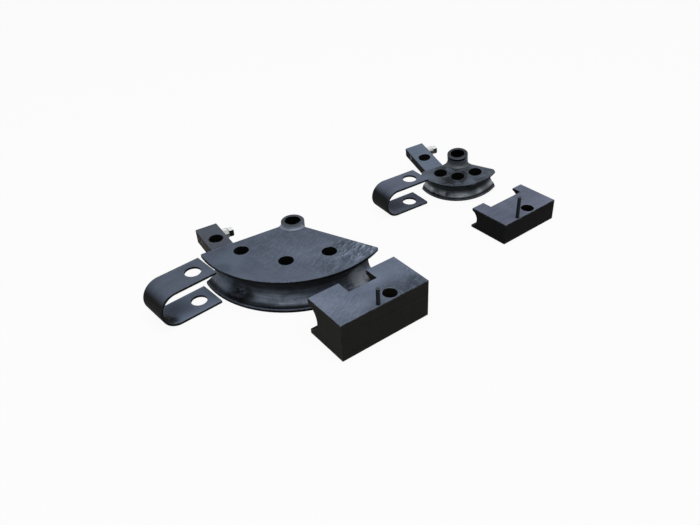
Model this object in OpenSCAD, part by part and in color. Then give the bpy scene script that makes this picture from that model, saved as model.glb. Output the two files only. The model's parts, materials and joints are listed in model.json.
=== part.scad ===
// Two die sets of a tube bender, a large one and a small one, laid out on a bench.
// Each set is a grooved bend die with its hub and hook arm, a clamp screw with its
// jam nut, a U-strap, and a grooved follow block with an upright dowel pin.
// The origin is on the bench, on the axis of the large die's pivot bore.
// Each die is drawn with its hook arm along +Y and its straight edge along -X, then
// turned to its heading. Each strap's legs run to -X from their tips, and each follow
// block runs to +X and +Y from its rear left corner, with its groove at +Y.

/* [Tubes and pins] */
// Outside diameter of the tube that the large set bends
large_tube_d = 50.8; // [44:0.2:52]
// Outside diameter of the tube that the small set bends
small_tube_d = 31.8; // [27:0.2:32.4]
// Bore of the pivot hubs
pivot_bore_d = 27.5; // [24:0.25:30]
// Outside diameter of the pivot hubs
hub_d = 40; // [37:0.5:44]
// Index holes in the bend dies
index_hole_d = 25.4; // [20:0.2:28]
// Pin holes in the hook arms
arm_hole_d = 23.8; // [18:0.2:25]
// Pin holes in the U-straps
strap_hole_d = 26.4; // [20:0.2:29]
// Pin holes in the follow blocks
block_hole_d = 23.2; // [18:0.2:24.4]

/* [Large bend die] */
// Radius of the rims
large_die_r = 165.4; // [160:0.2:175]
// Thickness over both rims
large_die_t = 60.4; // [57:0.2:66]
// Angle between the two straight edges
large_sector_angle = 118.5; // [112:0.5:124]
// Depth of the tube groove
large_groove_depth = 19.4; // [17:0.1:22]
// Circle on which the index holes lie
large_index_r = 109; // [100:1:116]
// Angles of the index holes from the arm's edge
large_index_angles = [12.5, 57, 95]; // [9:0.5:100]
// Height of the hub above the die
large_hub_above = 6.2; // [5.4:0.2:16]
// Radius of the weld around the hub
large_weld_leg = 5; // [2:0.5:5]
// Corner cut at the two ends of the rims
large_die_corner = 0.8; // [0.4:0.1:6]
// Heading of the die's arm edge
large_die_heading = 30; // [25:0.5:35]

/* [Small bend die] */
// Radius of the rims
small_die_r = 80.8; // [78:0.2:86]
// Thickness over both rims
small_die_t = 36.8; // [35:0.2:40]
// Angle between the two straight edges
small_sector_angle = 127; // [120:0.5:130]
// Depth of the tube groove
small_groove_depth = 11.8; // [9:0.5:13]
// Circle on which the index holes lie
small_index_r = 49.9; // [46:0.1:52]
// Angles of the index holes from the arm's edge
small_index_angles = [20, 61.5, 103]; // [16:0.5:106]
// Height of the hub above the die
small_hub_above = 18.6; // [12:0.2:24]
// Length of the hub below the die, on which the die lies tilted
small_hub_below = 9.4; // [6.6:0.2:12]
// Radius of the welds around the hub
small_weld_leg = 8; // [2:0.5:9]
// Corner cut at the two ends of the rims
small_die_corner = 4; // [0.4:0.1:6]
// Heading of the die's arm edge
small_die_heading = 20; // [16:0.5:24]
// Place of the die's pivot on the bench, from the large one
small_die_place = [318.4, 222.4]; // [215:0.1:330]
// Heading of the side that the die leans to
small_lean_heading = 237.7; // [230:0.1:245]

/* [Hook arms] */
// Width of both arms
arm_w = 38.1; // [34:0.1:40]
// Distance of the die's edge beyond the pivot, where the arms start
arm_edge = 4.4; // [2:0.2:8]
// Reach of the large arm beyond the pivot
large_arm_reach = 78.4; // [72:0.2:90]
// Thickness of the large arm
large_arm_t = 25.4; // [22:0.2:30]
// Reach of the small arm beyond the pivot
small_arm_reach = 95.2; // [90:0.2:105]
// Thickness of the small arm
small_arm_t = 18.6; // [16:0.2:22]
// Pin hole of the large arm, from the arm's end
large_arm_hole_from_end = 45; // [42:0.5:50]
// Pin hole of the small arm, from the arm's end
small_arm_hole_from_end = 48.4; // [45:0.2:52]
// Leg of the weld under each arm
arm_weld_leg = 6; // [3:0.5:9]

/* [Clamp screws and jam nuts] */
// Diameter of the clamp screws
screw_d = 11; // [8:0.1:12]
// Clamp screw of the large arm, from the arm's end
large_screw_from_end = 20.4; // [13:0.2:24]
// Clamp screw of the small arm, from the arm's end
small_screw_from_end = 21.8; // [14:0.2:27]
// Depth of the large arm's screw below the arm's top
large_screw_drop = 12.7; // [10:0.1:15]
// Depth of the small arm's screw below the arm's top
small_screw_drop = 9.3; // [8.4:0.1:10]
// Distance of the screws' tips inside the tube side of the arm
screw_tip_inset = 1; // [0.6:0.1:5]
// Square head of the clamp screws, across flats
screw_head_w = 11.7; // [9:0.1:14]
// Length of the square head
screw_head_t = 7.8; // [5:0.1:12]
// Bare thread between nut and head
screw_bare_length = 0.8; // [0.4:0.1:6]
// Jam nuts, across flats
nut_af = 16; // [14:0.1:20]
// Thickness of the jam nuts
nut_t = 11; // [6:0.1:13]
// Width of the chamfers on screws and nuts
screw_chamfer = 1; // [0.4:0.1:1.5]

/* [Large U-strap] */
// Length over the bend
large_strap_length = 103; // [98:0.5:115]
// Width of the flat bar
large_strap_w = 55; // [48:0.5:60]
// Height over both legs
large_strap_h = 61; // [54:0.5:66]
// Distance of the pin holes from the tips
large_strap_hole_from_tip = 26; // [22:0.5:32]
// Gap between the die's rim and the line of the strap's tips
large_strap_gap = 4.6; // [2:0.1:20]
// Distance of the strap's middle to the left of the die's pivot
large_strap_shift = 1; // [-10:0.1:10]
// Heading of the strap's legs
large_strap_heading = 40.4; // [36:0.1:46]

/* [Small U-strap] */
// Length over the bend
small_strap_length = 97; // [92:0.5:105]
// Width of the flat bar
small_strap_w = 47; // [42:0.5:50]
// Height over both legs
small_strap_h = 53; // [48:0.5:56]
// Distance of the pin holes from the tips
small_strap_hole_from_tip = 26; // [22:0.5:32]
// Gap between the die's rim and the line of the strap's tips
small_strap_gap = 20.8; // [14:0.1:30]
// Distance of the strap's middle to the left of the die's pivot
small_strap_shift = -6.2; // [-12:0.1:0]
// Heading of the strap's legs
small_strap_heading = 32; // [28:0.1:36]

/* [Both U-straps] */
// Thickness of the flat bar
strap_t = 4; // [3:0.1:7]

/* [Large follow block] */
// Length along the groove
large_block_length = 162; // [155:0.5:175]
// Width from the rear face to the grooved face
large_block_w = 81.5; // [78:0.5:90]
// Height
large_block_h = 66.4; // [62:0.2:72]
// Depth of the tube groove
large_block_groove_depth = 21; // [16:0.5:23]
// Distance of the notch from the block's left end
large_notch_start = 54.9; // [46:0.1:62]
// Width of the notch between the two ears
large_notch_w = 52.3; // [40:0.1:70]
// Depth of the notch
large_notch_depth = 27; // [18:0.5:30]
// Pin hole, along the block and from its rear face
large_block_hole = [99.2, 14.4]; // [14.2:0.1:110]
// Dowel pin, along the block and from its rear face
large_dowel_place = [70.2, 5]; // [4.9:0.1:78]
// Height of the dowel pin above the block
large_dowel_above = 28.3; // [15:0.1:45]
// Gap between the die's rim and the block's grooved face
large_block_gap = 27.6; // [20:0.1:40]
// Distance of the block's left end past the die's pivot, along the block
large_block_start = -98.6; // [-110:0.1:-90]
// Heading of the block
large_block_heading = 35.3; // [31:0.1:40]

/* [Small follow block] */
// Length along the groove
small_block_length = 129.8; // [126:0.2:140]
// Width from the rear face to the grooved face
small_block_w = 79.3; // [76:0.1:86]
// Height
small_block_h = 39.3; // [37:0.1:44]
// Depth of the tube groove
small_block_groove_depth = 12.4; // [9:0.1:13.4]
// Distance of the notch from the block's left end
small_notch_start = 27.7; // [22:0.1:34]
// Width of the notch between the two ears
small_notch_w = 79.3; // [60:0.1:84]
// Depth of the notch
small_notch_depth = 19.2; // [14:0.1:25]
// Pin hole, along the block and from its rear face
small_block_hole = [71.8, 14.4]; // [14.2:0.1:90]
// Dowel pin, along the block and from its rear face
small_dowel_place = [34.6, 5]; // [4.9:0.1:50]
// Height of the dowel pin above the block
small_dowel_above = 41.5; // [20:0.1:60]
// Gap between the die's rim and the block's grooved face
small_block_gap = 54.4; // [45:0.1:65]
// Distance of the block's left end past the die's pivot, along the block
small_block_start = -102; // [-112:0.1:-92]
// Heading of the block
small_block_heading = 36.4; // [32:0.1:40]

/* [Dowel pins and edges] */
// Diameter of the dowel pins
dowel_d = 6.35; // [4:0.05:6.4]
// Depth of the dowel pins in the blocks
dowel_seat = 24; // [14:0.5:30]
// Chamfer of the dowel pins' ends
dowel_chamfer = 0.6; // [0.2:0.1:1]
// Chamfer of the follow blocks' edges
block_chamfer = 0.8; // [0.4:0.1:1.6]
// Chamfer of the bend dies' rims
rim_chamfer = 0.8; // [0.4:0.1:1]
// Chamfer of the hubs' ends
hub_chamfer = 1; // [0.4:0.1:2]
// Chamfer of the hook arms' long edges
arm_chamfer = 0.8; // [0.3:0.1:1.5]
// Corner cut of the strap tips
strap_corner = 0.8; // [0.5:0.1:4]

/* [Hidden] */

$fn = 96;

// Radial clearance of each screw in its arm and nut
screw_clearance = 0.05;
// Gap between each jam nut and its arm
nut_gap = 0.1;
// Height of the hub welds' outer edges
weld_toe = 0.6;
// Space round each hub that its hook arm and the arm's weld keep free
hub_gap = 0.4;
// Direction, in a die's own frame, in which its arm's edge runs from the pivot
arm_edge_angle = 180;
// Cutters run this far past what they cut
overrun = 5;

// The sizes of both sets, large first
LARGE = 0;
SMALL = 1;
tube_d = [large_tube_d, small_tube_d];
die_r = [large_die_r, small_die_r];
die_t = [large_die_t, small_die_t];
sector = [large_sector_angle, small_sector_angle];
groove_depth = [large_groove_depth, small_groove_depth];
die_corner = [large_die_corner, small_die_corner];
index_r = [large_index_r, small_index_r];
index_angles = [large_index_angles, small_index_angles];
hub_above = [large_hub_above, small_hub_above];
hub_below = [0, small_hub_below];
weld_leg = [large_weld_leg, small_weld_leg];
arm_reach = [large_arm_reach, small_arm_reach];
arm_t = [large_arm_t, small_arm_t];
arm_hole_y = [large_arm_reach - large_arm_hole_from_end,
    small_arm_reach - small_arm_hole_from_end];
screw_y = [large_arm_reach - large_screw_from_end, small_arm_reach - small_screw_from_end];
screw_z = [large_die_t - large_screw_drop, small_die_t - small_screw_drop];
strap_length = [large_strap_length, small_strap_length];
strap_w = [large_strap_w, small_strap_w];
strap_h = [large_strap_h, small_strap_h];
strap_hole_from_tip = [large_strap_hole_from_tip, small_strap_hole_from_tip];
strap_gap = [large_strap_gap, small_strap_gap];
strap_shift = [large_strap_shift, small_strap_shift];
strap_heading = [large_strap_heading, small_strap_heading];
block_length = [large_block_length, small_block_length];
block_w = [large_block_w, small_block_w];
block_h = [large_block_h, small_block_h];
block_groove_depth = [large_block_groove_depth, small_block_groove_depth];
notch_start = [large_notch_start, small_notch_start];
notch_w = [large_notch_w, small_notch_w];
notch_depth = [large_notch_depth, small_notch_depth];
block_hole = [large_block_hole, small_block_hole];
dowel_place = [large_dowel_place, small_dowel_place];
dowel_above = [large_dowel_above, small_dowel_above];
block_gap = [large_block_gap, small_block_gap];
block_start = [large_block_start, small_block_start];
block_heading = [large_block_heading, small_block_heading];

// The large die lies flat. The small one rests on its lower rim and its hub's lower end,
// and those two circles set how far it leans and how high its underside is at the pivot.
rim_contact_r = small_die_r - rim_chamfer;
hub_contact_r = hub_d / 2 - hub_chamfer;
small_lean = atan(small_hub_below / (rim_contact_r - hub_contact_r));
die_lean = [0, small_lean];
die_lean_heading = [0, small_lean_heading];
die_place = [[0, 0, 0],
    [small_die_place.x, small_die_place.y, rim_contact_r * sin(small_lean)]];
die_heading = [large_die_heading, small_die_heading];

// Where the arm's two sides are, and the screw's stations from the arm's inner side
arm_x = [for (s = [LARGE, SMALL]) -(die_r[s] - groove_depth[s])];
nut_x = [for (s = [LARGE, SMALL]) arm_x[s] + arm_w + nut_gap];
head_x = [for (s = [LARGE, SMALL]) nut_x[s] + nut_t + screw_bare_length];

// Where each strap's and block's own origin is, seen from its die's pivot
strap_place = [for (s = [LARGE, SMALL])
    [-die_r[s] - strap_gap[s], strap_w[s] / 2 + strap_shift[s]]];
block_place = [for (s = [LARGE, SMALL])
    [block_start[s], -die_r[s] - block_gap[s] - block_w[s]]];

// Puts a die's own frame at its place on the bench
module place_die(s) {
    heading = die_lean_heading[s];
    translate(die_place[s])
        rotate(a = die_lean[s], v = [-sin(heading), cos(heading), 0])
            rotate([0, 0, die_heading[s]])
                children();
}

// Puts a flat-lying piece at its place beside its die, on its heading
module place_flat(s, heading, place) {
    translate([die_place[s].x, die_place[s].y, 0])
        rotate([0, 0, heading])
            translate([place.x, place.y, 0])
                children();
}

// A straight round hole through everything between two heights
module upright_hole(place, d, bottom, top) {
    translate([place.x, place.y, bottom - overrun])
        cylinder(d = d, h = top - bottom + 2 * overrun);
}

// The free space round a hub
module hub_space(s) {
    upright_hole([0, 0], hub_d + 2 * hub_gap, 0, die_t[s]);
}

// A rod along +X with chamfered ends
module chamfered_rod(d, length, chamfer) {
    rotate([0, 90, 0])
        rotate_extrude()
            polygon([[0, 0], [d / 2 - chamfer, 0], [d / 2, chamfer],
                [d / 2, length - chamfer], [d / 2 - chamfer, length], [0, length]]);
}

// The plan of a bend die between its two straight edges, with the rims' ends cut
module die_plan(s) {
    reach = die_r[s] + overrun;
    edge = arm_edge_angle + sector[s];
    far_end = die_r[s] * [cos(edge), sin(edge)];
    arm_end = [-sqrt(die_r[s] * die_r[s] - arm_edge * arm_edge), arm_edge];
    difference() {
        polygon([[0, arm_edge], [-reach, arm_edge], [-reach, -reach],
            [-reach / tan(edge), -reach], [0, 0]]);
        translate(far_end)
            rotate(edge + 45)
                square(2 * die_corner[s], center = true);
        translate(arm_end)
            rotate(45)
                square(2 * die_corner[s], center = true);
    }
}

// A bend die: a grooved disc cut to its sector, with a seat for the hub and index holes
module bend_die(s) {
    r = die_r[s];
    t = die_t[s];
    c = rim_chamfer;
    color("#3b4149")
        place_die(s)
            difference() {
                intersection() {
                    rotate_extrude($fn = 240)
                        polygon([[0, 0], [r - c, 0], [r, c], [r, t - c], [r - c, t], [0, t]]);
                    linear_extrude(t)
                        die_plan(s);
                }
                rotate_extrude($fn = 240)
                    translate([r - groove_depth[s] + tube_d[s] / 2, t / 2])
                        circle(d = tube_d[s]);
                upright_hole([0, 0], hub_d, 0, t);
                for (angle = index_angles[s])
                    upright_hole(-index_r[s] * [cos(angle), sin(angle)], index_hole_d, 0, t);
            }
}

// The hub: a tube through the die at its pivot corner
module pivot_hub(s) {
    r = hub_d / 2;
    c = hub_chamfer;
    bottom = -hub_below[s];
    top = die_t[s] + hub_above[s];
    color("#4a5058")
        place_die(s)
            difference() {
                rotate_extrude()
                    polygon([[0, bottom], [r - c, bottom], [r, bottom + c],
                        [r, top - c], [r - c, top], [0, top]]);
                upright_hole([0, 0], pivot_bore_d, bottom, top);
            }
}

// Half the section of a hollow weld bead in the corner at the hub's side
module weld_section(r, leg) {
    translate([r, 0])
        difference() {
            square([leg, leg]);
            translate([leg, leg])
                circle(r = leg - weld_toe);
        }
}

// The weld beads between hub and die, on each side where the hub stands proud
module hub_weld(s) {
    r = hub_d / 2;
    above = min(weld_leg[s], hub_above[s] - hub_chamfer);
    below = min(weld_leg[s], hub_below[s] * 0.6);
    color("#4a5058")
        place_die(s)
            intersection() {
                union() {
                    translate([0, 0, die_t[s]])
                        rotate_extrude()
                            weld_section(r, above);
                    if (below > 0)
                        mirror([0, 0, 1])
                            rotate_extrude()
                                weld_section(r, below);
                }
                translate([0, 0, -hub_below[s]])
                    linear_extrude(die_t[s] + hub_above[s] + hub_below[s])
                        die_plan(s);
            }
}

// The hook arm: a bar on the die's straight edge, in line with the bottom of the groove
module hook_arm(s) {
    length = arm_reach[s] - arm_edge;
    t = arm_t[s];
    c = arm_chamfer;
    color("#3f454d")
        place_die(s)
            difference() {
                translate([arm_x[s], arm_edge + length, die_t[s] - t])
                    rotate([90, 0, 0])
                        linear_extrude(length)
                            polygon([[c, 0], [arm_w - c, 0], [arm_w, c], [arm_w, t - c],
                                [arm_w - c, t], [c, t], [0, t - c], [0, c]]);
                hub_space(s);
                upright_hole([arm_x[s] + arm_w / 2, arm_hole_y[s]], arm_hole_d,
                    die_t[s] - t, die_t[s]);
                translate([arm_x[s] - overrun, screw_y[s], screw_z[s]])
                    rotate([0, 90, 0])
                        cylinder(d = screw_d + 2 * screw_clearance, h = arm_w + 2 * overrun);
            }
}

// The weld bead in the corner under the arm
module arm_weld(s) {
    color("#3b4046")
        place_die(s)
            difference() {
                translate([arm_x[s] + arm_chamfer, arm_edge, die_t[s] - arm_t[s]])
                    rotate([90, 0, 90])
                        linear_extrude(arm_w - 2 * arm_chamfer)
                            polygon([[0, 0], [arm_weld_leg, 0], [0, -arm_weld_leg]]);
                hub_space(s);
            }
}

// The jam nut: a hexagon with chamfered corners, one flat up
module jam_nut(s) {
    corner_r = nut_af / 2 / cos(30);
    flat_r = nut_af / 2;
    bevel = (corner_r - flat_r) * tan(30);
    color("#c9cccf")
        place_die(s)
            translate([nut_x[s], screw_y[s], screw_z[s]])
                rotate([0, 90, 0])
                    difference() {
                        intersection() {
                            rotate(30)
                                cylinder(r = corner_r, h = nut_t, $fn = 6);
                            rotate_extrude()
                                polygon([[0, 0], [flat_r, 0], [corner_r, bevel],
                                    [corner_r, nut_t - bevel], [flat_r, nut_t], [0, nut_t]]);
                        }
                        translate([0, 0, -overrun])
                            cylinder(d = screw_d + 2 * screw_clearance, h = nut_t + 2 * overrun);
                    }
}

// The clamp screw: a threaded rod through the arm, with a square head
module clamp_screw(s) {
    tip_x = arm_x[s] + screw_tip_inset;
    half = screw_head_w / 2;
    c = screw_chamfer;
    color("#33373c")
        place_die(s)
            translate([tip_x, screw_y[s], screw_z[s]]) {
                chamfered_rod(screw_d, head_x[s] - tip_x + c, c);
                translate([head_x[s] - tip_x, 0, 0])
                    intersection() {
                        translate([0, -half, -half])
                            cube([screw_head_t, screw_head_w, screw_head_w]);
                        chamfered_rod(2 * half * sqrt(2), screw_head_t, c);
                    }
            }
}

// The U-strap: a flat bar bent round half a circle, lying on its lower leg
module u_strap(s) {
    h = strap_h[s];
    w = strap_w[s];
    leg = strap_length[s] - h / 2;
    color("#474e57")
        place_flat(s, strap_heading[s], strap_place[s])
            difference() {
                union() {
                    for (z = [0, h - strap_t])
                        translate([0, 0, z])
                            linear_extrude(strap_t)
                                polygon([[-leg, 0], [-strap_corner, 0], [0, -strap_corner],
                                    [0, strap_corner - w], [-strap_corner, -w], [-leg, -w]]);
                    translate([-leg, 0, h / 2])
                        rotate([90, 0, 0])
                            difference() {
                                cylinder(d = h, h = w, $fn = 160);
                                translate([0, 0, -overrun])
                                    cylinder(d = h - 2 * strap_t, h = w + 2 * overrun, $fn = 160);
                                translate([0, -h, -overrun])
                                    cube([h, 2 * h, w + 2 * overrun]);
                            }
                }
                upright_hole([-strap_hole_from_tip[s], -w / 2], strap_hole_d, 0, h);
            }
}

// A follow block's outside: a box with chamfered edges
module block_body(s) {
    x = block_length[s];
    y = block_w[s];
    z = block_h[s];
    c = block_chamfer;
    intersection() {
        linear_extrude(z)
            chamfered_rectangle(x, y, c);
        translate([0, y, 0])
            rotate([90, 0, 0])
                linear_extrude(y)
                    chamfered_rectangle(x, z, c);
        rotate([90, 0, 90])
            linear_extrude(x)
                chamfered_rectangle(y, z, c);
    }
}

// A rectangle from the origin with its four corners cut
module chamfered_rectangle(x, y, c) {
    polygon([[c, 0], [x - c, 0], [x, c], [x, y - c], [x - c, y], [c, y], [0, y - c], [0, c]]);
}

// A follow block: grooved along its front, notched between two ears, with two holes
module follow_block(s) {
    length = block_length[s];
    h = block_h[s];
    color("#40464e")
        place_flat(s, block_heading[s], block_place[s])
            difference() {
                block_body(s);
                translate([-overrun, block_w[s] - block_groove_depth[s] + tube_d[s] / 2, h / 2])
                    rotate([0, 90, 0])
                        cylinder(d = tube_d[s], h = length + 2 * overrun, $fn = 128);
                translate([notch_start[s], block_w[s] - notch_depth[s], -overrun])
                    cube([notch_w[s], notch_depth[s] + overrun, h + 2 * overrun]);
                upright_hole(block_hole[s], block_hole_d, 0, h);
                translate([dowel_place[s].x, dowel_place[s].y, h - dowel_seat])
                    cylinder(d = dowel_d, h = dowel_seat + overrun);
            }
}

// The dowel pin that stands in the follow block
module dowel_pin(s) {
    color("#5a626c")
        place_flat(s, block_heading[s], block_place[s])
            translate([dowel_place[s].x, dowel_place[s].y, block_h[s] - dowel_seat])
                rotate([0, -90, 0])
                    chamfered_rod(dowel_d, dowel_seat + dowel_above[s], dowel_chamfer);
}

module large_bend_die() bend_die(LARGE);
module large_pivot_hub() pivot_hub(LARGE);
module large_hub_weld() hub_weld(LARGE);
module large_hook_arm() hook_arm(LARGE);
module large_arm_weld() arm_weld(LARGE);
module large_jam_nut() jam_nut(LARGE);
module large_clamp_screw() clamp_screw(LARGE);
module large_u_strap() u_strap(LARGE);
module large_follow_block() follow_block(LARGE);
module large_dowel_pin() dowel_pin(LARGE);
module small_bend_die() bend_die(SMALL);
module small_pivot_hub() pivot_hub(SMALL);
module small_hub_weld() hub_weld(SMALL);
module small_hook_arm() hook_arm(SMALL);
module small_arm_weld() arm_weld(SMALL);
module small_jam_nut() jam_nut(SMALL);
module small_clamp_screw() clamp_screw(SMALL);
module small_u_strap() u_strap(SMALL);
module small_follow_block() follow_block(SMALL);
module small_dowel_pin() dowel_pin(SMALL);

large_bend_die();
large_pivot_hub();
large_hub_weld();
large_hook_arm();
large_arm_weld();
large_jam_nut();
large_clamp_screw();
large_u_strap();
large_follow_block();
large_dowel_pin();
small_bend_die();
small_pivot_hub();
small_hub_weld();
small_hook_arm();
small_arm_weld();
small_jam_nut();
small_clamp_screw();
small_u_strap();
small_follow_block();
small_dowel_pin();
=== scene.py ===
import json
import math
from collections import namedtuple

import bpy
from mathutils import Matrix, Vector


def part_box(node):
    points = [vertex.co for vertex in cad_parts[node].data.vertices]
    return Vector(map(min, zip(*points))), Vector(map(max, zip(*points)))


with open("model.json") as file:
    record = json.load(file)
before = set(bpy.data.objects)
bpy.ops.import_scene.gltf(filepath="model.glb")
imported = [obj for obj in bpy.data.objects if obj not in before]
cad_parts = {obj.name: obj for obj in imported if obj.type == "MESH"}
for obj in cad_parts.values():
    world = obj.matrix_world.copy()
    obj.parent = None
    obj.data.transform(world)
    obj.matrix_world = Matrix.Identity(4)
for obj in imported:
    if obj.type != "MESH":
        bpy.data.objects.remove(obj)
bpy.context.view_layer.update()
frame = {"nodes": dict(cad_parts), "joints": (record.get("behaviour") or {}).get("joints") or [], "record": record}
nodes = frame["nodes"]
mounts = {mount["name"]: mount for mount in frame["record"]["mounts"]}
joints = {joint["name"]: joint for joint in frame["joints"]}

SETS = ("large", "small")
MILLIMETRE = 0.001
UPWARDS = Vector((0, 0, 1))
WHITE = (1, 1, 1, 1)

# The share of a patch's radius that takes its full amount
PATCH_CORE = 0.35
# How far outside a bore's wall the painted shade that blackens its inside fades
BORE_FADE = (0.0003, 0.0012)
# How far within a die's rim, and how far below its groove's bottom, the groove's look fades
RIM_FADE = (0.0012, 0.0006)
BOTTOM_FADE = (0.002, 0.001)
SCREW_ROD_RADIUS = 0.0055
# The radius of the painted shade on a nut's top
NUT_SHADE_RADIUS = 0.0034

# A round hole, by a place on its axis
Bore = namedtuple("Bore", "place axis radius length")
# A bend die, by the place where its underside meets its pivot's axis
Die = namedtuple("Die", "place axis rim depth thickness")
# The machined groove of a die: its tone, raised as painted light, and its painted light and shade at shares of the
# die's height
Groove = namedtuple("Groove", "die tone shine")
# A tone laid on a surface, as a stain, painted shade or a painted highlight: its tone, and whether it darkens or
# lightens
Stain = namedtuple("Stain", "tone blend")
# A patch of a stain, of painted shade or of a painted highlight, and a scored patch with the heading of its scores
Mark = namedtuple("Mark", "place radius amount stain")
Scuff = namedtuple("Scuff", "place radius amount heading")


def colour(red, green, blue):
    """A colour in sRGB bytes, as the linear one that a node takes."""
    def linear(byte):
        level = byte / 255
        return level / 12.92 if level <= 0.04045 else ((level + 0.055) / 1.055) ** 2.4
    return (linear(red), linear(green), linear(blue), 1)


def scaled(tone, *gains):
    """A colour times one gain, or times a gain each for its red, green and blue."""
    gains = gains * 3 if len(gains) == 1 else gains
    return tuple(min(level * gain, 1) for level, gain in zip(tone, gains)) + (1,)


class Nodes:
    """A node tree under construction, with short calls for the nodes it uses."""

    def __init__(self, tree):
        self.tree = tree
        tree.nodes.clear()

    def new(self, kind, **settings):
        node = self.tree.nodes.new(kind)
        for key, value in settings.items():
            setattr(node, key, value)
        return node

    def put(self, socket, value):
        """Links a socket, or sets a plain value."""
        if isinstance(value, bpy.types.NodeSocket):
            self.tree.links.new(value, socket)
        else:
            socket.default_value = value

    def math(self, operation, a, b=0.0):
        node = self.new("ShaderNodeMath", operation=operation)
        self.put(node.inputs[0], a)
        self.put(node.inputs[1], b)
        return node.outputs["Value"]

    def seen(self):
        """1 for what the camera sees by itself, in a reflection or through glass."""
        path = self.new("ShaderNodeLightPath")
        shown = self.math("MAXIMUM", path.outputs["Is Camera Ray"], path.outputs["Is Glossy Ray"])
        return self.math("MAXIMUM", shown, path.outputs["Is Transmission Ray"])

    def glow(self, kind, tone, strength):
        """An emission, or a world's background."""
        node = self.new(kind)
        node.inputs["Color"].default_value = tone
        node.inputs["Strength"].default_value = strength
        return node.outputs[0]

    def either(self, share, first, second):
        """The first shader at share 0, and the second at share 1."""
        node = self.new("ShaderNodeMixShader")
        self.put(node.inputs["Fac"], share)
        self.put(node.inputs[1], first)
        self.put(node.inputs[2], second)
        return node.outputs["Shader"]


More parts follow.
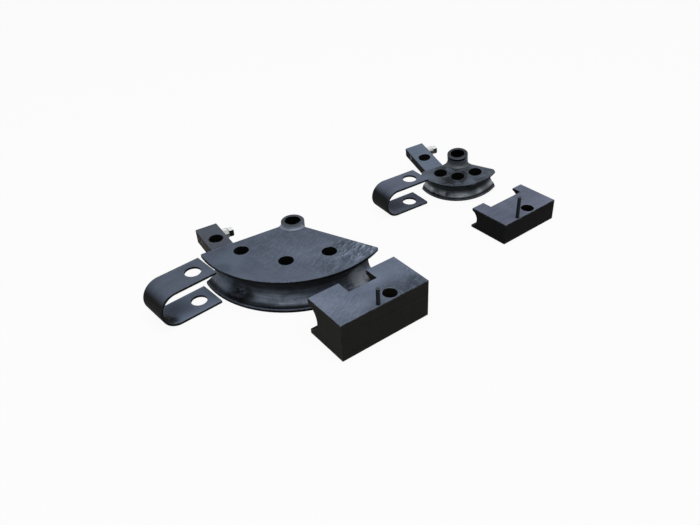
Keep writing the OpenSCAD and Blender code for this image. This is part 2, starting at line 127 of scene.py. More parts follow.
class Look(Nodes):
    """A material under construction, in the coordinates of the object that wears it."""

    def __init__(self, name):
        self.material = bpy.data.materials.new(name)
        self.material.use_nodes = True
        super().__init__(self.material.node_tree)
        self.out = self.new("ShaderNodeOutputMaterial")
        coordinates = self.new("ShaderNodeTexCoord")
        self.plain = coordinates.outputs["Object"]
        self.normal = coordinates.outputs["Normal"]

    def add(self, first, *others):
        for other in others:
            first = self.math("ADD", first, other)
        return first

    def times(self, first, *others):
        for other in others:
            first = self.math("MULTIPLY", first, other)
        return first

    def vector(self, operation, a, b=None):
        """Vector arithmetic, which gives a number where the operation does."""
        node = self.new("ShaderNodeVectorMath", operation=operation)
        self.put(node.inputs[0], a)
        if b is not None:
            self.put(node.inputs[1], b)
        is_number = operation in ("LENGTH", "DISTANCE", "DOT_PRODUCT")
        return node.outputs["Value" if is_number else "Vector"]

    def part(self, vector, letter):
        """The X, Y or Z of a vector."""
        node = self.new("ShaderNodeSeparateXYZ")
        self.put(node.inputs["Vector"], vector)
        return node.outputs[letter]

    def mix(self, share, a, b, blend="MIX"):
        node = self.new("ShaderNodeMix", data_type="RGBA", blend_type=blend)
        self.put(node.inputs["Factor"], share)
        self.put(node.inputs["A"], a)
        self.put(node.inputs["B"], b)
        return node.outputs["Result"]

    def span(self, value, low, high, to_low=0.0, to_high=1.0, smooth=True):
        """Maps low..high onto to_low..to_high, clamped."""
        node = self.new("ShaderNodeMapRange", clamp=True,
                        interpolation_type="SMOOTHSTEP" if smooth else "LINEAR")
        self.put(node.inputs["Value"], value)
        for socket, number in zip(("From Min", "From Max", "To Min", "To Max"),
                                  (low, high, to_low, to_high)):
            node.inputs[socket].default_value = number
        return node.outputs["Result"]

    def swing(self, noise, reach=1.0):
        """Maps a noise onto -reach..reach."""
        return self.span(noise, 0.3, 0.7, -reach, reach, False)

    def vary(self, noise, tone, dark, light):
        """A tone that a noise takes from its dark gain to its light one."""
        return self.mix(self.span(noise, 0.3, 0.7), scaled(tone, dark), scaled(tone, light))

    def ramp(self, value, stops):
        """A smooth grey ramp through (place, level) stops."""
        node = self.new("ShaderNodeValToRGB")
        node.color_ramp.interpolation = "EASE"
        self.put(node.inputs["Fac"], value)
        points = node.color_ramp.elements
        while len(points) < len(stops):
            points.new(0.5)
        for point, (place, level) in zip(points, stops):
            point.position = place
            point.color = (level, level, level, 1)
        return node.outputs["Color"]

    def noise(self, vector, scale, detail, rough, distort=0.0):
        node = self.new("ShaderNodeTexNoise")
        for socket, value in (("Vector", vector), ("Scale", scale), ("Detail", detail),
                              ("Roughness", rough), ("Distortion", distort)):
            self.put(node.inputs[socket], value)
        return node.outputs["Fac"]

    def cells(self, scale):
        """How far each point is from the middle of its cell."""
        node = self.new("ShaderNodeTexVoronoi")
        self.put(node.inputs["Vector"], self.plain)
        node.inputs["Scale"].default_value = scale
        return node.outputs["Distance"]

    def stretched(self, heading, scale):
        """The object's coordinates, turned about Z to a heading and then scaled."""
        turned = self.new("ShaderNodeMapping", vector_type="TEXTURE")
        self.put(turned.inputs["Vector"], self.plain)
        turned.inputs["Rotation"].default_value = (0, 0, math.radians(heading))
        node = self.new("ShaderNodeMapping")
        self.put(node.inputs["Vector"], turned.outputs["Vector"])
        node.inputs["Scale"].default_value = scale
        return node.outputs["Vector"]

    def local(self, vector, axis, place=(0, 0, 0)):
        """A vector in the frame that stands at a place, with its Z along an axis."""
        node = self.new("ShaderNodeMapping", vector_type="TEXTURE")
        self.put(node.inputs["Vector"], vector)
        node.inputs["Location"].default_value = place
        node.inputs["Rotation"].default_value = UPWARDS.rotation_difference(axis).to_euler()
        return node.outputs["Vector"]

    def about(self, place, axis):
        """Coordinates about an axis, their part square to it, and the distance from it."""
        own = self.local(self.plain, axis, place)
        flat = self.vector("MULTIPLY", own, (1, 1, 0))
        return own, flat, self.vector("LENGTH", flat)

    def up(self, low, high):
        """1 where the surface faces up in the object's own frame, 0 where it stands upright."""
        return self.span(self.part(self.normal, "Z"), low, high)

    def near(self, place, radius):
        """1 round a place, fading to 0 at the radius."""
        gap = self.vector("DISTANCE", self.plain, place)
        return self.span(gap, radius * PATCH_CORE, radius, 1, 0)

    def within(self, bore):
        """1 inside a bore and 0 outside it."""
        distance = self.about(bore.place, bore.axis)[2]
        low, high = (bore.radius + gap for gap in BORE_FADE)
        return self.span(distance, low, high, 1, 0)

    def groove(self, die):
        """1 on a die's machined groove, the height there as a share of the die, and tool marks."""
        own, flat, distance = self.about(die.place, die.axis)
        along = self.vector("CROSS_PRODUCT", self.vector("NORMALIZE", flat), UPWARDS)
        normal = self.local(self.normal, die.axis)
        endwise = self.math("ABSOLUTE", self.vector("DOT_PRODUCT", normal, along))
        level = self.math("ABSOLUTE", self.part(normal, "Z"))
        # Only between the rim and the bottom, and on neither the cut ends nor the level faces
        rim = [die.rim - gap for gap in RIM_FADE]
        bottom = [die.rim - die.depth - gap for gap in BOTTOM_FADE]
        mask = self.times(self.span(distance, *rim, 1, 0), self.span(distance, *bottom),
                          self.span(endwise, 0.3, 0.6, 1, 0), self.span(level, 0.93, 0.97, 1, 0))
        height = self.part(own, "Z")
        rings = self.new("ShaderNodeCombineXYZ")
        self.put(rings.inputs["X"], distance)
        self.put(rings.inputs["Y"], self.times(self.part(own, "X"), 0.04))
        self.put(rings.inputs["Z"], height)
        return (mask, self.math("DIVIDE", height, die.thickness),
                self.noise(rings.outputs["Vector"], 650, 4, 0.65))

    def edges(self, radius, low=0.01, high=0.12, upright=1.0):
        """A rounded shading normal, and 1 along the edges where that normal leaves the flat one.

        Upright edges take only the given share, so that a painted edge highlight stays on the edges that face up."""
        bevel = self.new("ShaderNodeBevel", samples=6)
        bevel.inputs["Radius"].default_value = radius
        soft = bevel.outputs["Normal"]
        flat = self.new("ShaderNodeNewGeometry").outputs["Normal"]
        bend = self.math("SUBTRACT", 1.0, self.vector("DOT_PRODUCT", soft, flat))
        share = self.span(self.part(soft, "Z"), 0.1, 0.45, upright, 1)
        return soft, self.times(self.span(bend, low, high), share)

    def bump(self, height, distance, strength, normal):
        node = self.new("ShaderNodeBump")
        node.inputs["Strength"].default_value = strength
        node.inputs["Distance"].default_value = distance
        self.put(node.inputs["Height"], height)
        self.put(node.inputs["Normal"], normal)
        return node.outputs["Normal"]

    def finish(self, base, rough, normal, metallic, specular):
        """Closes the material. Its specular level is the same all over."""
        node = self.new("ShaderNodeBsdfPrincipled")
        self.put(node.inputs["Base Color"], base)
        self.put(node.inputs["Roughness"], rough)
        self.put(node.inputs["Normal"], normal)
        self.put(node.inputs["Metallic"], metallic)
        node.inputs["Specular IOR Level"].default_value = specular
        self.put(self.out.inputs["Surface"], node.outputs["BSDF"])
        return self.material


BLACK = colour(13, 14, 16)
BARE_EDGE_AND_HIGHLIGHT = colour(158, 166, 178)
SCORE_LIGHT = colour(156, 170, 190)
SCORE_DARK = colour(48, 54, 64)

# Patch tones: smudges, grease, black patches and pale places; the grease and black tones also lay painted shade,
# and the bright one is a painted highlight
SMUDGE = Stain(colour(50, 57, 67), "DARKEN")
GREASE_AND_SHADE = Stain(colour(36, 39, 44), "DARKEN")
BLACK_PATCH = Stain(BLACK, "DARKEN")
PALE = Stain(colour(104, 117, 135), "LIGHTEN")
PAINTED_HIGHLIGHT = Stain(colour(142, 148, 158), "LIGHTEN")

# The noises of blackened steel: slow clouds, streaks along its brushing, and fine grain
SteelNoise = namedtuple("SteelNoise", "cloud wide streak hair fine fleck blotch")


def steel_noise(look, heading, grain):
    """All of a blackened piece's noises. Its brushing runs along the heading."""
    return SteelNoise(
        cloud=look.noise(look.plain, 16, 5, 0.6, 0.4),
        wide=look.noise(look.stretched(heading + 20, (1, 2.2, 1)), 7, 3, 0.5, 0.2),
        streak=look.noise(look.stretched(heading, grain), 1, 6, 0.68),
        hair=look.noise(look.stretched(heading, (60, 900, 60)), 1, 3, 0.6),
        fine=look.noise(look.plain, 900, 2, 0.5),
        fleck=look.noise(look.plain, 330, 3, 0.7),
        blotch=look.noise(look.plain, 60, 4, 0.65, 0.8))


def brushed(look, noise, tone, streaks, mottle):
    """The faces that are handled: streaks and hairlines over slow clouds."""
    lift = look.add(look.times(look.swing(noise.streak), streaks),
                    look.times(look.swing(noise.cloud), mottle),
                    look.times(look.span(noise.wide, 0.32, 0.68, -1, 1), mottle * 0.7),
                    look.times(look.swing(noise.hair), 0.22),
                    look.times(look.swing(noise.fleck), 0.34))
    return look.mix(look.span(lift, -1.4, 1.4, 0, 1, False),
                    scaled(tone, 0.56, 0.57, 0.6), scaled(tone, 1.5, 1.48, 1.44))


def scored(look, base, scuff):
    """A rubbed place, scored light and dark along its heading."""
    scores = look.noise(look.stretched(scuff.heading, (75, 300, 75)), 1, 4, 0.7, 0.7)
    here = look.times(look.near(scuff.place, scuff.radius), scuff.amount)
    light = look.times(here, look.span(scores, 0.52, 0.58))
    dark = look.times(here, look.span(scores, 0.42, 0.49, 1, 0))
    return look.mix(dark, look.mix(light, base, SCORE_LIGHT), SCORE_DARK)


def scale_and_shade(look, noise, tone):
    """The upright faces: black scale and painted shade in one dark tone, with a faint bloom and level saw lines.
    """
    saw = look.noise(look.stretched(0, (9, 9, 420)), 1, 4, 0.65)
    bloom = look.add(look.times(noise.cloud, 0.45), look.times(noise.fine, 0.2),
                     look.times(saw, 0.35))
    return look.mix(look.span(bloom, 0.38, 0.62), scaled(tone, 0.75),
                    scaled(tone, 1.4, 1.38, 1.32))


def groove_tone_and_light(look, noise, groove):
    """The tone in a groove with its painted light and shade, where that groove is, and the tool marks in it."""
    mask, height, rings = look.groove(groove.die)
    rubbed = look.add(look.swing(noise.blotch, 0.35), 1.0)
    shine = look.times(look.ramp(height, groove.shine), rubbed)
    tone = look.mix(1.0, look.vary(rings, groove.tone, 0.72, 1.28), shine, "MULTIPLY")
    return tone, mask, rings


def patched(look, noise, base, mark):
    """A smudge, a black or pale patch, painted shade or a painted highlight, broken up at its border."""
    ragged = look.span(look.times(look.add(noise.cloud, noise.blotch), 0.5), 0.4, 0.54)
    patch = look.times(look.near(mark.place, mark.radius), ragged, mark.amount)
    return look.mix(patch, base, mark.stain.tone, mark.stain.blend)


def blackened(name, top, side, heading, streaks=0.4, mottle=0.5, wear_and_highlight=0.6, grain=(7, 95, 7),
              faces=(0.2, 0.9), corner=0.0011, scuffs=(), marks=(), bores=(), inside=None,
              foot=None, groove=None):
    """Blue-black mill finish: brushed and smudged on top, near black on its upright faces, where black scale and
    painted shade share one tone.

    faces says how far up a face must look to start to count as top, and to count fully; faces that look up less
    take the dark upright tone, which paints shade into hollows and round bends.
    inside is painted light: the tone inside a strap's lower leg, lifted against the shade of its upper leg. Below
    the foot, all of it takes the black upright tone, as painted shade."""
    look = Look(name)
    noise = steel_noise(look, heading, grain)
    height = look.part(look.plain, "Z")
    upper = brushed(look, noise, top, streaks, mottle)
    for scuff in scuffs:
        upper = scored(look, upper, scuff)
    # Painted light: a strap's lower leg is lightened where its upper leg shades it
    if inside is not None:
        upper = look.mix(look.span(height, 0.008, 0.03, 0.8, 0), upper, inside)
    lower = scale_and_shade(look, noise, side)
    # Painted shade: below the foot, faces that look up take the dark upright tone
    if foot is not None:
        upper = look.mix(look.span(height, foot, foot * 1.4, 1, 0), upper, lower)
    # Tops and upright faces take separate tones: black scale, and painted shade for the faces that the light from
    # above misses
    is_top = look.up(*faces)
    base = look.mix(is_top, lower, upper)
    machined = 0.0
    # The groove's tone carries painted light and shade by height
    if groove is not None:
        tone, machined, rings = groove_tone_and_light(look, noise, groove)
        base = look.mix(machined, base, tone)
    for mark in marks:
        base = patched(look, noise, base, mark)
    # Painted shade: the inside of each bore is black
    for bore in bores:
        base = look.mix(look.within(bore), base, BLACK)
    # Bare metal and a painted edge highlight show along the edges, in broken lines
    soft, edge = look.edges(corner, upright=0.15)
    edge = look.times(edge, look.span(look.noise(look.plain, 130, 4, 0.6), 0.34, 0.62), wear_and_highlight)
    base = look.mix(edge, base, BARE_EDGE_AND_HIGHLIGHT)
    # Upright faces are rougher, or the white floor would show in them
    rough = look.add(look.span(noise.cloud, 0.3, 0.7, 0.34, 0.48),
                     look.times(look.swing(noise.streak), 0.05),
                     look.span(is_top, 0, 1, 0.36, 0, False))
    grit = look.add(look.times(noise.hair, 0.5), look.times(noise.fine, 0.5))
    normal = look.bump(grit, 0.00012, 0.35, soft)
    strokes = look.times(noise.streak, look.math("SUBTRACT", 1.0, machined))
    normal = look.bump(strokes, 0.0004, 0.12, normal)
    if groove is not None:
        normal = look.bump(look.times(rings, machined), 0.0002, 0.3, normal)
        rough = look.math("SUBTRACT", rough, look.times(machined, 0.25))
    metal = look.math("MAXIMUM", look.times(edge, 0.8), look.times(machined, 0.3))
    return look.finish(base, rough, normal, metal, 0.05)


def turned_steel(name, top, side, specks=900, corner=0.0012, wear_and_highlight=0.6, bore=None, scale=None):
    """A turned piece: tool marks, a dull wall, light corners of wear and painted highlight, and a bore painted
    black as painted shade.

    scale is the height along the bore above which the wall is painted black, as painted shadow under the top's
    lip."""
    look = Look(name)
    cloud = look.noise(look.plain, 40, 4, 0.6, 0.3)
    marks = look.noise(look.stretched(0, (1, 1, 40)), 60, 3, 0.6)
    fine = look.noise(look.plain, specks, 2, 0.5)
    base = look.mix(look.up(0.3, 0.9), look.vary(marks, side, 0.6, 1.5),
                    look.vary(cloud, top, 0.66, 1.4))
    # Painted shadow: a black band on the wall above that height
    if scale is not None:
        height = look.part(look.about(bore.place, bore.axis)[0], "Z")
        wall = look.math("SUBTRACT", 1.0, look.up(0.2, 0.5))
        shadow_band = look.times(look.span(height, scale - 0.0004, scale + 0.0004), wall)
        base = look.mix(shadow_band, base, BLACK)
    # Painted shade: the inside of the bore is black
    if bore is not None:
        base = look.mix(look.within(bore), base, BLACK)
    # Light corners: wear and a painted edge highlight
    soft, edge = look.edges(corner)
    broken = look.span(look.noise(look.plain, 110, 3, 0.6), 0.25, 0.6, 0.35, 0.9)
    edge = look.times(edge, broken, wear_and_highlight)
    base = look.mix(edge, base, colour(160, 168, 180))
    grit = look.add(look.times(marks, 0.6), look.times(fine, 0.4))
    return look.finish(base, look.span(cloud, 0.3, 0.7, 0.3, 0.46),
                       look.bump(grit, 0.00015, 0.3, soft),
                       look.span(edge, 0, 1, 0.15, 0.8, False), 0.08)


def weld_bead(name, tone):
    """A ground weld: soft ripples, scattered pits and a light sheen."""
    look = Look(name)
    cloud = look.noise(look.plain, 55, 4, 0.6, 0.6)
    ripple = look.noise(look.plain, 210, 4, 0.6, 1.2)
    unpitted = look.span(look.cells(420), 0, 0.22)
    base = look.mix(unpitted, scaled(tone, 0.45), look.vary(cloud, tone, 0.7, 1.3))
    soft, edge = look.edges(0.0008)
    base = look.mix(look.times(edge, 0.3), base, colour(140, 148, 160))
    normal = look.bump(ripple, 0.0005, 0.35, soft)
    normal = look.bump(unpitted, 0.0002, 0.3, normal)
    return look.finish(base, look.span(ripple, 0.3, 0.7, 0.32, 0.5), normal, 0.15, 0.5)


def zinc_plate(name, shaded_flats, shade_line, shade_place):
    """Bright zinc with a faint spangle, with painted shade greying its flats and darkening it below a height.

    Painted shade darkens one place on its top, and painted dark reflections line its edges."""
    look = Look(name)
    cloud = look.noise(look.plain, 180, 3, 0.6)
    base = look.mix(look.span(cloud, 0.3, 0.7), colour(214, 216, 218), colour(244, 245, 246))
    spangle = look.times(look.span(look.cells(650), 0.1, 0.6), 0.25)
    base = look.mix(spangle, base, colour(214, 212, 200))
    # Painted shade: faces that don't look up are greyer
    base = look.mix(look.up(0.62, 0.9), look.mix(0.85, base, shaded_flats), base)
    height = look.part(look.plain, "Z")
    # Painted shade below a height, and round one place on the top
    shaded_below = look.span(height, shade_line - 0.0012, shade_line + 0.0012, 1, 0)
    shaded_below = look.math("MAXIMUM", shaded_below, look.near(shade_place, NUT_SHADE_RADIUS))
    base = look.mix(look.times(shaded_below, 0.92), base, colour(34, 40, 36))
    # Painted dark reflections along the edges
    soft, edge = look.edges(0.0013, 0.005, 0.08)
    base = look.mix(look.times(edge, 0.9), base, colour(48, 57, 50))
    normal = look.bump(look.noise(look.plain, 900, 3, 0.6), 0.0001, 0.3, soft)
    return look.finish(base, look.span(cloud, 0.3, 0.7, 0.2, 0.34), normal, 0.75, 0.5)


def plated_screw(name, centre, axis, pitch):
    """A plated screw: a painted highlight where it faces up, near black painted shade elsewhere, with threads on
    its rod.
    """
    look = Look(name)
    own, _, distance = look.about(centre, axis)
    on_rod = look.span(distance, SCREW_ROD_RADIUS + 0.0001, SCREW_ROD_RADIUS + 0.0003, 1, 0)
    turns = look.math("FRACT", look.math("DIVIDE", look.part(own, "Z"), pitch))
    ridge = look.times(look.math("ABSOLUTE", look.math("SUBTRACT", turns, 0.5)), 2.0)
    cloud = look.noise(look.plain, 120, 4, 0.6, 0.3)
    base = look.mix(look.span(cloud, 0.3, 0.7), colour(16, 20, 18), colour(40, 46, 43))
    # Painted highlight on faces that look up; the dark tone elsewhere is painted shade
    base = look.mix(look.up(0.55, 0.9), base, colour(244, 246, 245))
    soft, edge = look.edges(0.0009)
    edge = look.times(edge, look.span(look.noise(look.plain, 260, 3, 0.6), 0.3, 0.6, 0.3, 1))
    base = look.mix(look.times(edge, 0.7), base, colour(92, 98, 96))
    # Painted shade in the thread's roots
    root = look.times(on_rod, look.span(ridge, 0.25, 0.6, 1, 0))
    base = look.mix(look.times(root, 0.8), base, colour(24, 27, 26))
    normal = look.bump(look.noise(look.plain, 700, 3, 0.6), 0.0001, 0.3, soft)
    normal = look.bump(look.times(ridge, on_rod), 0.0006, 0.7, normal)
    return look.finish(base, look.span(cloud, 0.3, 0.7, 0.26, 0.42), normal,
                       look.span(edge, 0, 1, 0.3, 0.9, False), 0.5)


def stated_bore(name):
    """A bore that the record states."""
    mount = mounts[name]
    return Bore(Vector(mount["pos_m"]), Vector(mount["axis"]),
                mount["dims"]["r_mm"] * MILLIMETRE, mount["dims"]["length_mm"] * MILLIMETRE)


def stated_die(size, depth):
    """A bend die, from its pivot, an index hole that runs through it, and its own rim."""
    pivot = stated_bore(size + "_pivot_bore")
    index = stated_bore(size + "_index_bore_1")
    middle = pivot.axis.dot(index.place - pivot.place)
    place = pivot.place + pivot.axis * (middle - index.length / 2)
    rim = max((vertex.co - place).cross(pivot.axis).length
              for vertex in nodes[size + "_bend_die"].data.vertices)
    return Die(place, pivot.axis, rim, depth, index.length)


GROOVE_DEPTHS = {"large": 0.0194, "small": 0.0118}
DIES = {size: stated_die(size, GROOVE_DEPTHS[size]) for size in SETS}
# How high the tops of the large die and the large block are
DIE_TOP = DIES["large"].thickness
BLOCK_TOP = stated_bore("large_block_bore").length

# Painted light and shade in each groove, as (share of the die's height, level): a painted highlight at the lower
# rim's edge and in a band low down, and painted shadow, darkest where the upper rim overhangs
LARGE_GROOVE_PAINTED_LIGHT = ((0.083, 0.7), (0.1, 0.04), (0.135, 0.08), (0.2, 0.52), (0.29, 0.5), (0.42, 0.2),
               (0.55, 0.05), (1.0, 0.02))
SMALL_GROOVE_PAINTED_LIGHT = ((0.083, 0.75), (0.1, 0.04), (0.135, 0.06), (0.18, 0.56), (0.26, 0.7),
               (0.35, 0.26), (0.45, 0.04), (1.0, 0.01))

# The scuffs, stains, pale places, painted highlight and painted shade were placed where the photograph shows them
LARGE_DIE_SCUFFS = (
    Scuff((0.1, -0.0885, DIE_TOP), 0.055, 0.6, 62),
    Scuff((0.1355, -0.0652, DIE_TOP), 0.052, 1, 58),
    Scuff((0.0636, -0.1192, DIE_TOP), 0.045, 0.25, 65),
    Scuff((-0.01, -0.07, DIE_TOP), 0.1, 0.12, 60))
LARGE_DIE_MARKS = (
    # On the top, from the arm's side to the tip
    Mark((-0.0823, -0.0724, DIE_TOP), 0.08, 0.2, SMUDGE),
    Mark((0.02, -0.03, DIE_TOP), 0.06, 0.25, SMUDGE),
    Mark((-0.12, -0.05, DIE_TOP), 0.04, 0.15, SMUDGE),
    Mark((-0.095, -0.1, DIE_TOP), 0.04, 0.5, PALE),
    Mark((-0.106, -0.1225, DIE_TOP), 0.022, 0.4, SMUDGE),
    Mark((0.0878, -0.0741, DIE_TOP), 0.03, 0.3, SMUDGE),
    Mark((0.0714, -0.1279, DIE_TOP), 0.035, 0.35, SMUDGE),
    Mark((0.1275, -0.0893, DIE_TOP), 0.025, 0.6, PALE),
    # In the groove: a painted highlight behind the block's notch, then dark and pale patches on the strap's side
    Mark((0.105, -0.106, 0.0145), 0.026, 1, PAINTED_HIGHLIGHT),
    Mark((-0.102, -0.1085, 0.008), 0.014, 0.8, BLACK_PATCH),
    Mark((-0.1084, -0.1066, 0.021), 0.024, 0.6, PALE),
    Mark((-0.091, -0.1217, 0.0174), 0.02, 0.75, BLACK_PATCH),
    Mark((-0.0782, -0.1303, 0.0111), 0.022, 0.9, BLACK_PATCH),
    Mark((-0.0649, -0.1374, 0.0219), 0.02, 0.8, BLACK_PATCH))
LARGE_STRAP_PAINTED_SHADE = (
    # Painted shade at the foot of the bend, where the upper leg shades the lower one
    Mark((-0.1888, -0.1786, 0.013), 0.026, 1, GREASE_AND_SHADE),
    Mark((-0.1885, -0.1763, 0.011), 0.018, 1, BLACK_PATCH))
LARGE_BLOCK_SCUFFS = (
    Scuff((0.0712, -0.2333, BLOCK_TOP), 0.06, 0.17, 60),
    Scuff((0.2, -0.16, BLOCK_TOP), 0.05, 0.2, 60))
LARGE_BLOCK_MARKS = (
    # Beside the pin hole, and along the front
    Mark((0.173, -0.2075, BLOCK_TOP), 0.05, 0.6, SMUDGE),
    Mark((0.203, -0.1982, BLOCK_TOP), 0.05, 0.5, SMUDGE),
    Mark((0.1408, -0.2546, BLOCK_TOP), 0.04, 0.3, SMUDGE))
SMALL_DIE_MARKS = (
    # On the leaning top, round its index holes
    Mark((0.3051, 0.1833, 0.0433), 0.046, 0.95, GREASE_AND_SHADE),
    Mark((0.3007, 0.155, 0.039), 0.036, 1, GREASE_AND_SHADE),
    Mark((0.2791, 0.1923, 0.0423), 0.024, 0.7, GREASE_AND_SHADE),
    Mark((0.2712, 0.1454, 0.0355), 0.02, 0.5, GREASE_AND_SHADE),
    Mark((0.3433, 0.1461, 0.0415), 0.024, 0.6, GREASE_AND_SHADE),
    # In the groove
    Mark((0.2816, 0.1601, 0.0112), 0.016, 0.9, BLACK_PATCH),
    Mark((0.268, 0.1598, 0.01), 0.012, 0.8, BLACK_PATCH),
    Mark((0.2954, 0.1479, 0.0107), 0.014, 0.7, BLACK_PATCH),
    Mark((0.2695, 0.1704, 0.007), 0.014, 0.95, BLACK_PATCH),
    Mark((0.3621, 0.1655, 0.0145), 0.016, 0.5, BLACK_PATCH),
    Mark((0.3345, 0.1525, 0.0145), 0.016, 0.6, BLACK_PATCH),
    # Along the top's rim, and at its tip
    Mark((0.2497, 0.175, 0.0415), 0.02, 1, PALE),
    Mark((0.3285, 0.1455, 0.0395), 0.014, 1, PALE),
    Mark((0.36, 0.174, 0.0435), 0.03, 0.45, SMUDGE))

# Painted shade: a block's groove and notch take the dark upright tone all over, and a strap darkens evenly round
# its bend
BLOCK_FACES = (0.85, 0.98)
STRAP_FACES = (0.5, 0.99)

# The blackened pieces, each with its top in the tone that it shows in the photograph, and its upright faces in a
# dark tone that is black scale and painted shade in one
BLACKENED = {
    "large_bend_die": dict(
        name="large die steel", top=colour(94, 103, 120), side=colour(15, 16, 18), heading=-42,
        streaks=0.45, wear_and_highlight=0.7, grain=(5, 60, 5), scuffs=LARGE_DIE_SCUFFS, marks=LARGE_DIE_MARKS,
        groove=Groove(DIES["large"], colour(148, 160, 178), LARGE_GROOVE_PAINTED_LIGHT)),
    "large_hook_arm": dict(
        name="large arm steel", top=colour(83, 89, 100), side=colour(54, 53, 51), heading=30,
        bores=[stated_bore("large_arm_bore")]),
    "large_u_strap": dict(
        name="large strap steel", top=colour(92, 101, 117), side=colour(27, 27, 27), heading=40,
        mottle=0.45, wear_and_highlight=0.45, faces=STRAP_FACES, marks=LARGE_STRAP_PAINTED_SHADE,
        # Painted light on the lower leg, against the shade of the upper leg
        inside=colour(140, 154, 178)),
    "large_follow_block": dict(
        name="large block steel", top=colour(107, 117, 136), side=colour(32, 32, 30), heading=-20,
        streaks=0.25, mottle=0.95, wear_and_highlight=0.8, faces=BLOCK_FACES, scuffs=LARGE_BLOCK_SCUFFS,
        marks=LARGE_BLOCK_MARKS, foot=0.03),
    "small_bend_die": dict(
        name="small die steel", top=colour(92, 99, 110), side=colour(15, 16, 18), heading=25,
        mottle=0.8, corner=0.0006, marks=SMALL_DIE_MARKS,
        groove=Groove(DIES["small"], colour(186, 194, 204), SMALL_GROOVE_PAINTED_LIGHT)),
    "small_hook_arm": dict(
        name="small arm steel", top=colour(110, 122, 141), side=colour(18, 19, 21), heading=20,
        mottle=0.4),
    "small_u_strap": dict(
        name="small strap steel", top=colour(96, 103, 121), side=colour(33, 34, 36), heading=32,
        mottle=0.45, wear_and_highlight=0.45, faces=STRAP_FACES),
    "small_follow_block": dict(
        name="small block steel", top=colour(108, 115, 134), side=colour(16, 16, 16), heading=36,
        mottle=0.7, wear_and_highlight=0.8, faces=BLOCK_FACES, foot=0.015),
}

HUB_TOPS = {"large": colour(70, 76, 86), "small": colour(54, 58, 64)}
HUB_WALL = colour(84, 91, 104)
# The height over the die's underside above which a hub's wall is painted black, as painted shadow under its top's
# lip
HUB_SHADOW_LINES = {"large": None, "small": 0.0502}
HUB_WELDS = {"large": colour(110, 119, 134), "small": colour(58, 65, 72)}
ARM_WELD = colour(42, 44, 48)
DOWEL_TOP = colour(66, 72, 80)
DOWEL_WALL = colour(24, 27, 33)
NUTS = {
    "large": dict(shaded_flats=colour(190, 197, 192), shade_line=0.0503,
                  shade_place=(-0.1127, 0.0033, 0.0557)),
    "small": dict(shaded_flats=colour(224, 232, 228), shade_line=0.0465,
                  shade_place=(0.2711, 0.2855, 0.0521)),
}


def dress(name, material):
    """Gives a carried-over CAD node its material."""
    node = nodes[name]
    node.data.materials.clear()
    node.data.materials.append(material)


def dress_turned_and_welded(size):
    """The hub, the dowel pin and the welds of one set."""
    bore = stated_bore(size + "_pivot_bore")._replace(place=DIES[size].place)
    dress(size + "_pivot_hub", turned_steel(size + " hub steel", HUB_TOPS[size], HUB_WALL,
                                            bore=bore, scale=HUB_SHADOW_LINES[size]))
    dress(size + "_dowel_pin", turned_steel(size + " dowel steel", DOWEL_TOP, DOWEL_WALL,
                                            specks=1400, corner=0.0006, wear_and_highlight=0.9))
    dress(size + "_hub_weld", weld_bead(size + " hub weld", HUB_WELDS[size]))
    dress(size + "_arm_weld", weld_bead(size + " arm weld", ARM_WELD))


def dress_plated(size):
    """The nut and the screw of one set."""
    dress(size + "_jam_nut", zinc_plate(size + " zinc plate", **NUTS[size]))
    low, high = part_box(size + "_jam_nut")
    centre = (Vector(low) + Vector(high)) / 2
    travel = joints[size + "_screw_travel"]
    turns = joints[size + "_screw_turn"]["range_deg"][1] / 360
    dress(size + "_clamp_screw", plated_screw(size + " plated screw", centre,
                                              Vector(travel["axis"]),
                                              travel["range_m"][1] / turns))


FLOOR_RADIUS = 12.0
FLOOR_SIDES = 96
FLOOR_PLACE = (0.1, 0, -0.0003)
FLOOR_TONE = (0.9, 0.9, 0.9, 1)
# How far the floor's white hides the shadow on it
FLOOR_WHITENESS = 0.93


def floor_material():
    """White to the camera and in reflections, with a faint shadow left on it."""
    look = Look("pale floor")
    matt = look.new("ShaderNodeBsdfDiffuse")
    matt.inputs["Color"].default_value = FLOOR_TONE
    white = look.glow("ShaderNodeEmission", WHITE, 1.0)
    share = look.times(look.seen(), FLOOR_WHITENESS)
    look.put(look.out.inputs["Surface"], look.either(share, matt.outputs["BSDF"], white))
    return look.material


def make_floor():
    mesh = bpy.data.meshes.new("floor")
    turns = [math.tau * side / FLOOR_SIDES for side in range(FLOOR_SIDES)]
    ring = [(FLOOR_RADIUS * math.cos(turn), FLOOR_RADIUS * math.sin(turn), 0) for turn in turns]
    mesh.from_pydata(ring, [], [tuple(range(FLOOR_SIDES))])
    mesh.materials.append(floor_material())
    floor = bpy.data.objects.new("floor", mesh)
    floor.location = FLOOR_PLACE
    bpy.context.scene.collection.objects.link(floor)


SKY_TONE = (0.97, 0.985, 1, 1)
SKY_STRENGTH = 0.28


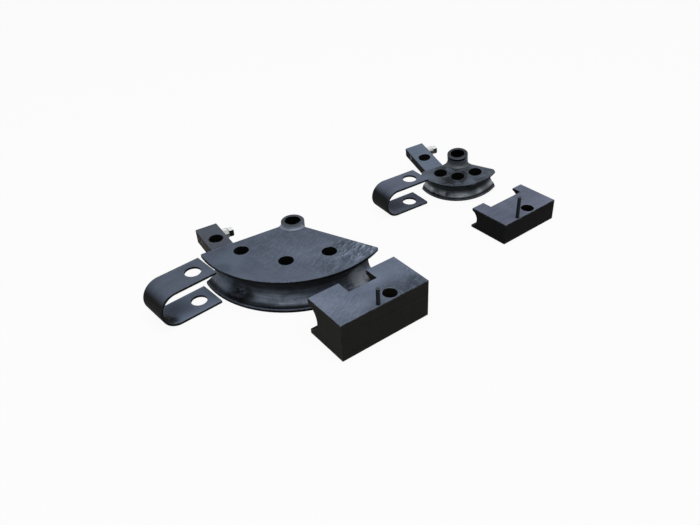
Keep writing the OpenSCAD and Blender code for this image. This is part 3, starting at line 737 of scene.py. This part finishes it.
def make_world():
    """White to the camera and in reflections, and a soft light on all else."""
    world = bpy.data.worlds.new("studio")
    bpy.context.scene.world = world
    world.use_nodes = True
    sky = Nodes(world.node_tree)
    ambient = sky.glow("ShaderNodeBackground", SKY_TONE, SKY_STRENGTH)
    white = sky.glow("ShaderNodeBackground", WHITE, 1.0)
    out = sky.new("ShaderNodeOutputWorld")
    sky.put(out.inputs["Surface"], sky.either(sky.seen(), ambient, white))


def make_lamp(name, place, target, width, height, watts):
    data = bpy.data.lights.new(name, "AREA")
    data.shape = "RECTANGLE"
    data.size = width
    data.size_y = height
    data.energy = watts
    lamp = bpy.data.objects.new(name, data)
    lamp.location = place
    aim = Vector(target) - Vector(place)
    lamp.rotation_euler = aim.to_track_quat("-Z", "Y").to_euler()
    bpy.context.scene.collection.objects.link(lamp)


# The camera, fitted to the photograph: it looks along +Y, tilted down and rolled
CAMERA_PLACE = Vector((0.105036, -0.976541, 0.670846))
CAMERA_TILT = math.radians(35.55)
CAMERA_ROLL = math.radians(-3.06)
CAMERA_SENSOR = 36
CAMERA_LENS = 34.667
CAMERA_SHIFT = (-0.00939, -0.00109)


def make_camera():
    right = Vector((1, 0, 0))
    up = Vector((0, math.sin(CAMERA_TILT), math.cos(CAMERA_TILT)))
    back = right.cross(up)
    across = math.cos(CAMERA_ROLL) * right + math.sin(CAMERA_ROLL) * up
    turn = Matrix((across, back.cross(across), back)).transposed()
    data = bpy.data.cameras.new("camera")
    data.sensor_width = CAMERA_SENSOR
    data.lens = CAMERA_LENS
    data.shift_x, data.shift_y = CAMERA_SHIFT
    data.clip_start = 0.01
    camera = bpy.data.objects.new("camera", data)
    camera.matrix_world = Matrix.Translation(CAMERA_PLACE) @ turn.to_4x4()
    bpy.context.scene.collection.objects.link(camera)
    bpy.context.scene.camera = camera


for node_name, finish in BLACKENED.items():
    dress(node_name, blackened(**finish))
for size in SETS:
    dress_turned_and_welded(size)
    dress_plated(size)

make_floor()
make_world()
make_lamp("overhead", place=(0.25, -0.6, 3.1), target=(0.12, 0, 0), width=2.6, height=2.2,
          watts=52)
make_lamp("left fill", place=(-2.2, -0.5, 1.2), target=(0.1, 0, 0.03), width=1.0, height=1.0,
          watts=0.8)
make_camera()
bpy.context.scene.view_settings.view_transform = "Standard"
